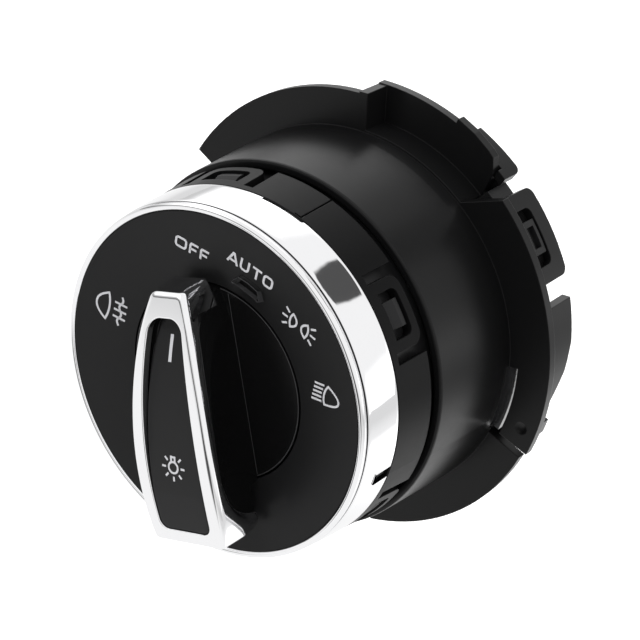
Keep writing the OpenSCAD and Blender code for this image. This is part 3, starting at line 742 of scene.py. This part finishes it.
def arc(cx, cy, rx, ry, start, end, count):
    """Points along an ellipse's arc, in degrees anticlockwise from the right."""
    return [(cx + rx * math.cos(math.radians(start + (end - start) * i / count)),
             cy + ry * math.sin(math.radians(start + (end - start) * i / count)))
            for i in range(count + 1)]


def round_box(x0, x1, y0, y1, r):
    """A rectangle with rounded corners, as one closed line."""
    corners = [(x1 - r, y1 - r, 0), (x0 + r, y1 - r, 90), (x0 + r, y0 + r, 180), (x1 - r, y0 + r, 270)]
    line = []
    for cx, cy, a in corners:
        line += arc(cx, cy, r, r, a, a + 90, 5)
    return line


def leaf(x_tip, height, left, right, count=14):
    """A lamp outline with its tips at the top and the foot and a bulge of its own on each side."""
    line = []
    for side, first in ((right, 1), (left, -1)):
        for i in range(count):
            t = first * (1 - 2 * i / count)
            line.append((x_tip + (side - x_tip) * (1 - abs(t) ** 2.2), t * height))
    return line


# Each capital fills the width from x0 to x1

def letter_o(x0, x1):
    return [(round_box(x0 + HALF_STROKE, x1 - HALF_STROKE, -HALF_CAP, HALF_CAP, LETTER_R), True)]


def letter_f(x0, x1):
    stem = x0 + HALF_STROKE
    return [([(stem, LETTER_FOOT), (stem, HALF_CAP - 0.3), (x0 + 0.4, HALF_CAP), (x1, HALF_CAP)], False),
            ([(stem, -0.12), (x1 - 0.3, -0.12)], False)]


def letter_a(x0, x1):
    mid, bar = (x0 + x1) / 2, -0.52
    share = (bar - LETTER_FOOT) / (HALF_CAP - LETTER_FOOT)
    left, right = x0 + 0.2, x1 - 0.2
    roof = [(left, LETTER_FOOT), (mid - 0.12, HALF_CAP), (mid + 0.12, HALF_CAP), (right, LETTER_FOOT)]
    beam = [(left + (mid - left) * share, bar), (right + (mid - right) * share, bar)]
    return [(roof, False), (beam, False)]


def letter_u(x0, x1):
    a, b, r = x0 + HALF_STROKE, x1 - HALF_STROKE, LETTER_R
    return [([(a, LETTER_TOP)] + arc(a + r, -HALF_CAP + r, r, r, 180, 270, 5)
             + arc(b - r, -HALF_CAP + r, r, r, 270, 360, 5) + [(b, LETTER_TOP)], False)]


def letter_t(x0, x1):
    mid = (x0 + x1) / 2
    return [([(x0, HALF_CAP), (x1, HALF_CAP)], False), ([(mid, HALF_CAP), (mid, LETTER_FOOT)], False)]


def side_light_sign():
    """Two lamps back to back, each with three rays."""
    rays = (((2.4, 1.12), (3.35, 1.75)), ((2.55, 0.0), (3.75, 0.0)), ((2.4, -1.12), (3.35, -1.75)))
    strokes = []
    for s in (-1, 1):
        lamp = [(s * x, y) for x, y in leaf(1.62, 1.36, 0.56, 2.0)]
        strokes.append((lamp, True))
        for inner, outer in rays:
            strokes.append(([(s * inner[0], inner[1]), (s * outer[0], outer[1])], False))
    return strokes


def dipped_sign():
    """A lamp with five rays that slope down."""
    strokes = [(leaf(0.27, 1.76, -0.2, 2.92), True)]
    slope = math.tan(math.radians(16))
    start, first, pitch = -2.48, 0.92, 0.77
    for i, end in enumerate((-0.55, -0.62, -0.7, -0.6, -0.4)):
        y = first - pitch * i
        strokes.append(([(start, y), (end, y + (end - start) * slope)], False))
    return strokes


def rear_fog_sign():
    """A lamp with three level rays that a wave crosses."""
    strokes = [(leaf(-0.95, 2.92, -3.34, -0.42, 18), True)]
    for i in range(3):
        y = 1.66 - 1.53 * i
        strokes.append(([(0.6, y), (3.4, y)], False))
    wave = [(2.03 + 0.33 * math.cos(math.tau * (y - 2.5) / 3.05), y)
            for y in [3.3 - 6.35 * i / 24 for i in range(25)]]
    strokes.append((wave, False))
    return strokes


def bulb_sign():
    """A bulb with its base at the top and seven rays."""
    strokes = [(arc(0, 0, 1.05, 1.05, 0, 345, 23), True)]
    strokes.append(([(-0.42, 0.95), (-0.42, 1.95), (0.42, 1.95), (0.42, 0.95)], False))
    inner, outer = 1.72, 2.6
    for i in range(1, 8):
        a = math.radians(45 * i)
        ray = [(r * math.sin(a), r * math.cos(a)) for r in (inner, outer)]
        strokes.append((ray, False))
    return strokes


def build_signs():
    """The signs of the dial, the pointer and the lamp sign of the insert, and a painted highlight along
    the lens's edge.
    """
    dial = surface_of(nodes["fascia"])
    face = surface_of(bpy.data.objects["insert_skin"])
    base = dict(surface=dial, body="base", look=sign_white)
    off = letter_o(-3.68, -1.07) + letter_f(-0.54, 1.38) + letter_f(1.84, 3.72)
    auto = letter_a(-4.98, -2.5) + letter_u(-2.23, -0.2) + letter_t(0.43, 2.4) + letter_o(2.8, 5.0)
    build_sign("sign_off", off, OFF_CLOCK + 0.8, SIGN_RADIUS, OFF_CLOCK + 25, scale=0.96, **base)
    build_sign("sign_auto", auto, OFF_CLOCK + DETENT + 0.5, SIGN_RADIUS + 0.45 * MM, 0, **base)
    build_sign("sign_side", side_light_sign(), OFF_CLOCK + 2 * DETENT, SIGN_RADIUS, 2,
               stroke=0.38 * MM, **base)
    build_sign("sign_dipped", dipped_sign(), OFF_CLOCK + 3 * DETENT - 1, SIGN_RADIUS + 0.1 * MM, -4,
               stroke=0.36 * MM, scale=1.04, **base)
    build_sign("sign_fog", rear_fog_sign(), FOG_CLOCK, SIGN_RADIUS, -5,
               stroke=0.4 * MM, scale=0.93, **base)
    grip = dict(surface=face, body="knob", look=sign_white)
    build_sign("sign_pointer", [([(0, -2.2), (0, 2.2)], False)], OFF_CLOCK - 0.8, 9.4 * MM, OFF_CLOCK + 3,
               stroke=0.66 * MM, **grip)
    build_sign("sign_lamp", bulb_sign(), OFF_CLOCK + 180 + 1.2, 10.5 * MM, OFF_CLOCK + 4,
               stroke=0.37 * MM, scale=0.95, **grip)
    # A thin pale line around the lens: a painted highlight of its edge.
    line = [(r * math.sin(math.radians(a)), r * math.cos(math.radians(a))) for a, r in LENS_OUTLINE]
    build_sign("lens_edge_highlight", [(line, True)], 0, 0, 0, surface=dial, body="base", look=painted_highlight,
               stroke=0.13 * MM)


# Small blocks that close gaps behind the flange

def arc_block(name, clocks, radii, depths, look):
    """A block between two clock angles, two radii and two depths, in millimetres."""
    (a0, a1), (r0, r1), (y0, y1) = clocks, radii, depths
    steps = max(2, int((a1 - a0) / 2))
    verts = []
    for i in range(steps + 1):
        a = math.radians(a0 + (a1 - a0) * i / steps)
        for r, y in ((r0, y0), (r1, y0), (r1, y1), (r0, y1)):
            verts.append((r * math.sin(a) * MM, y * MM, r * math.cos(a) * MM))
    faces = [(0, 1, 2, 3), tuple(4 * steps + k for k in (3, 2, 1, 0))]
    for i in range(steps):
        for k in range(4):
            a, b = 4 * i + k, 4 * i + (k + 1) % 4
            faces.append((a, a + 4, b + 4, b))
    new_piece(name, new_mesh(name, verts, faces), look, "base")


def build_closures():
    """A rib near the top, and the floor of the slot at the root of the right-hand wing."""
    arc_block("cover_rib", (19.5, 24.5), (36.0, 39.0), (8.1, 9.8), body_black)
    arc_block("slot_floor", (73.3, 94.3), (34.5, 36.6), (0.5, 1.7), polished_black)


# Studio

# The switch is rolled by this angle in the photograph
PHOTO_ROLL = math.radians(20.0)
# Where the camera stands, seen from the dial's centre, if the switch weren't rolled
CAMERA_AZIMUTH = math.radians(36.385)
CAMERA_ELEVATION = math.radians(23.76)
CAMERA_DISTANCE = 341.9 * MM
# How far the middle of the picture lies right of and above the dial's centre
PICTURE_RIGHT = 18.82 * MM
PICTURE_UP = 11.04 * MM
# The lens, and the least distance that the camera sees
LENS_MM = 112.5
SENSOR_MM = 36.0
NEAREST_SEEN = 10 * MM

# Soft boxes of the studio and a dark gap in it, as gloss shows them: direction in the photograph's
# own frame, the angles where each is full and where it ends, and its strength
STUDIO = (
    ((-0.80, -0.35, 0.45), 8, 36, 2.0),
    ((-0.38, 0.70, 0.60), 6, 28, 2.0),
    ((0.60, 0.70, -0.38), 8, 28, 2.2),
    ((0.465, 0.645, 0.605), 8.6, 10.4, 0.085),
)
STUDIO_LEVEL = 0.97
# How far noise moves the edges of all these, as a cosine, and the noise's scale and detail
RAGGED, RAGGED_SCALE, RAGGED_DETAIL = 0.006, 9.0, 5.0
# The studio is dark towards its horizon: most around a direction in front on the left, between two
# cosines from it, and less so all round; each gloom ends at a height
DARK_FRONT, DARK_STARTS, DARK_FULL = (-0.66, -0.75, 0.0), 0.2, 0.7
FRONT_GLOOM, FRONT_GLOOM_TOP = 0.9, 0.42
BACK_GLOOM, BACK_GLOOM_TOP = 0.35, 0.14
# Strength of the white background as the camera sees it, and of the light that it gives
SEEN_LEVEL, WORLD_LIGHT = 1.0, 0.55

# The floor: how far below the switch, its size in metres, tone and roughness, and its glow to the eye
FLOOR_DROP, FLOOR_SIZE = 55 * MM, 6
FLOOR_TONE, FLOOR_ROUGHNESS, FLOOR_GLOW = 0.8, 0.9, 0.45
# The floor as gloss shows it, in metres: lighter near the switch than far from it
FLOOR_NEAR, FLOOR_FAR = 0.98, 0.75
NEAR_ENDS, FAR_STARTS = 0.2, 0.9
# A dark gap in it, in front: strength, direction and half angles in degrees, and where it starts
GAP_LEVEL, GAP_CLOCK, GAP_INNER, GAP_OUTER = 0.1, 15.0, 10.0, 24.0
GAP_STARTS, GAP_FULL = 0.2, 0.32
# A light patch in it, behind: place, strength, and where it is full and where it ends
PATCH_PLACE, PATCH_LEVEL = (0.15, 0.2, 0.0), 0.9
PATCH_INNER, PATCH_OUTER = 0.05, 0.2

# Lamps: place and size in metres and power in watts, and the place that they all point at
LAMPS = {
    "key": ((-0.35, -0.55, 0.75), (0.6, 0.6), 7.0),
    "fill": ((0.7, -0.5, 0.35), (0.5, 0.7), 3.0),
    "top": ((0.1, 0.2, 0.9), (0.9, 0.5), 5.0),
}
LAMP_TARGET = Vector((0, -0.02, 0))


def photo_direction(x, y, z):
    """A direction of the photograph's own frame, in this one."""
    return (Matrix.Rotation(-PHOTO_ROLL, 3, "Y") @ Vector((x, y, z))).normalized()


def split_xyz(tree, vector):
    """A vector's three parts."""
    node = tree.nodes.new("ShaderNodeSeparateXYZ")
    tree.links.new(vector, node.inputs[0])
    return node.outputs


def mix_shaders(tree, share, first, second):
    """The second shader where the share is 1, and the first where it is 0."""
    node = tree.nodes.new("ShaderNodeMixShader")
    for source, socket in zip((share, first, second), node.inputs):
        tree.links.new(source, socket)
    return node.outputs[0]


def by_ray(tree, seen, gloss, lit, out):
    """One shader for what is seen directly or through clear plastic, one for gloss, one for the rest."""
    path = tree.nodes.new("ShaderNodeLightPath").outputs
    unseen = mix_shaders(tree, path["Is Glossy Ray"], lit, gloss)
    direct = calc(tree, "MAXIMUM", path["Is Camera Ray"], path["Is Transmission Ray"])
    tree.links.new(mix_shaders(tree, direct, unseen, seen), out.inputs["Surface"])


def studio_strength(tree):
    """How bright each direction is in gloss."""
    directions = tree.nodes.new("ShaderNodeTexCoord").outputs["Generated"]
    ragged = add_noise(tree, RAGGED_SCALE, RAGGED_DETAIL, "Generated")
    ragged = map_range(tree, ragged, 0, 1, -RAGGED, RAGGED, "LINEAR")
    level = STUDIO_LEVEL
    for place, full, end, strength in STUDIO:
        near = measure(tree, "DOT_PRODUCT", directions, photo_direction(*place))
        near = calc(tree, "ADD", near, ragged)
        share = map_range(tree, near, math.cos(math.radians(end)), math.cos(math.radians(full)), 0, 1)
        level = fade(tree, share, level, strength)
    height = split_xyz(tree, directions)["Z"]
    front = measure(tree, "DOT_PRODUCT", directions, photo_direction(*DARK_FRONT))
    front = map_range(tree, front, DARK_STARTS, DARK_FULL, 0, 1)
    front_gloom = map_range(tree, height, 0, FRONT_GLOOM_TOP, FRONT_GLOOM, 0)
    back_gloom = map_range(tree, height, 0, BACK_GLOOM_TOP, BACK_GLOOM, 0)
    gloom = calc(tree, "MAXIMUM", calc(tree, "MULTIPLY", front, front_gloom), back_gloom)
    return calc(tree, "MULTIPLY", level, calc(tree, "SUBTRACT", 1, gloom))


def background(tree, strength):
    """White light of a strength."""
    node = tree.nodes.new("ShaderNodeBackground")
    node.inputs["Color"].default_value = (1, 1, 1, 1)
    feed(tree, strength, node.inputs["Strength"])
    return node.outputs[0]


def build_world():
    """White to the eye, a studio to gloss and plain soft light to the rest."""
    world = bpy.data.worlds.new("studio")
    bpy.context.scene.world = world
    world.use_nodes = True
    tree = world.node_tree
    tree.nodes.clear()
    out = tree.nodes.new("ShaderNodeOutputWorld")
    gloss = background(tree, studio_strength(tree))
    by_ray(tree, background(tree, SEEN_LEVEL), gloss, background(tree, WORLD_LIGHT), out)


def floor_gloss(tree):
    """How bright each place of the floor is in gloss."""
    place = tree.nodes.new("ShaderNodeTexCoord").outputs["Object"]
    parts = split_xyz(tree, place)
    clock = calc(tree, "ARCTAN2", parts["X"], calc(tree, "SUBTRACT", DIAL_Y, parts["Y"]))
    off = calc(tree, "ABSOLUTE", calc(tree, "SUBTRACT", clock, math.radians(GAP_CLOCK)))
    gap = map_range(tree, off, math.radians(GAP_INNER), math.radians(GAP_OUTER), 1 - GAP_LEVEL, 0)
    away = measure(tree, "LENGTH", place)
    begun = map_range(tree, away, GAP_STARTS, GAP_FULL, 0, 1)
    gap = calc(tree, "SUBTRACT", 1, calc(tree, "MULTIPLY", gap, begun))
    level = map_range(tree, away, NEAR_ENDS, FAR_STARTS, FLOOR_NEAR, FLOOR_FAR)
    patch = measure(tree, "DISTANCE", place, PATCH_PLACE)
    patch = map_range(tree, patch, PATCH_INNER, PATCH_OUTER, PATCH_LEVEL, 0)
    return calc(tree, "ADD", calc(tree, "MULTIPLY", level, gap), patch)


def build_floor():
    """A pale floor that keeps the shadow; it glows a little to the eye and has its own look in gloss."""
    bpy.ops.mesh.primitive_plane_add(size=FLOOR_SIZE, location=(0, 0, CAD_LOW_Z - FLOOR_DROP))
    floor = bpy.context.object
    floor.name = "floor"
    mat, tree, bsdf = new_material("floor_white")
    bsdf.inputs["Base Color"].default_value = (FLOOR_TONE, FLOOR_TONE, FLOOR_TONE, 1)
    bsdf.inputs["Roughness"].default_value = FLOOR_ROUGHNESS
    bsdf.inputs["Specular IOR Level"].default_value = 0.0
    glow = tree.nodes.new("ShaderNodeEmission")
    glow.inputs["Strength"].default_value = FLOOR_GLOW
    seen = tree.nodes.new("ShaderNodeAddShader")
    tree.links.new(bsdf.outputs[0], seen.inputs[0])
    tree.links.new(glow.outputs[0], seen.inputs[1])
    gloss = tree.nodes.new("ShaderNodeEmission")
    tree.links.new(floor_gloss(tree), gloss.inputs["Strength"])
    by_ray(tree, seen.outputs[0], gloss.outputs[0], bsdf.outputs[0], tree.nodes["Material Output"])
    floor.data.materials.append(mat)


def build_lights():
    """Soft lamps, which gloss doesn't show: the studio's soft boxes stand for them there."""
    for name, (place, size, watts) in LAMPS.items():
        light = bpy.data.lights.new(name, "AREA")
        light.shape = "RECTANGLE"
        light.size, light.size_y = size
        light.energy = watts
        lamp = bpy.data.objects.new(name, light)
        bpy.context.collection.objects.link(lamp)
        lamp.location = place
        lamp.rotation_euler = (LAMP_TARGET - Vector(place)).to_track_quat("-Z", "Y").to_euler()
        lamp.visible_glossy = False


def build_camera():
    """The photograph's view."""
    a, e = CAMERA_AZIMUTH, CAMERA_ELEVATION
    right = Vector((math.cos(a), math.sin(a), 0))
    up = Vector((-math.sin(a) * math.sin(e), math.cos(a) * math.sin(e), math.cos(e)))
    ahead = Vector((-math.sin(a) * math.cos(e), math.cos(a) * math.cos(e), -math.sin(e)))
    roll = Matrix.Rotation(-PHOTO_ROLL, 3, "Y")
    right, up, ahead = roll @ right, roll @ up, roll @ ahead
    place = right * PICTURE_RIGHT + up * PICTURE_UP - ahead * CAMERA_DISTANCE + Vector((0, DIAL_Y, 0))
    data = bpy.data.cameras.new("camera")
    data.lens = LENS_MM
    data.sensor_width = SENSOR_MM
    data.sensor_fit = "HORIZONTAL"
    data.clip_start = NEAREST_SEEN
    camera = bpy.data.objects.new("camera", data)
    bpy.context.collection.objects.link(camera)
    turn = Matrix((right, up, -ahead)).transposed()
    camera.matrix_world = Matrix.Translation(place) @ turn.to_4x4()
    bpy.context.scene.camera = camera


dress_nodes()
build_grip()
build_ring()
build_closures()
build_signs()
build_world()
build_floor()
build_lights()
build_camera()
bpy.context.scene.view_settings.view_transform = "Standard"
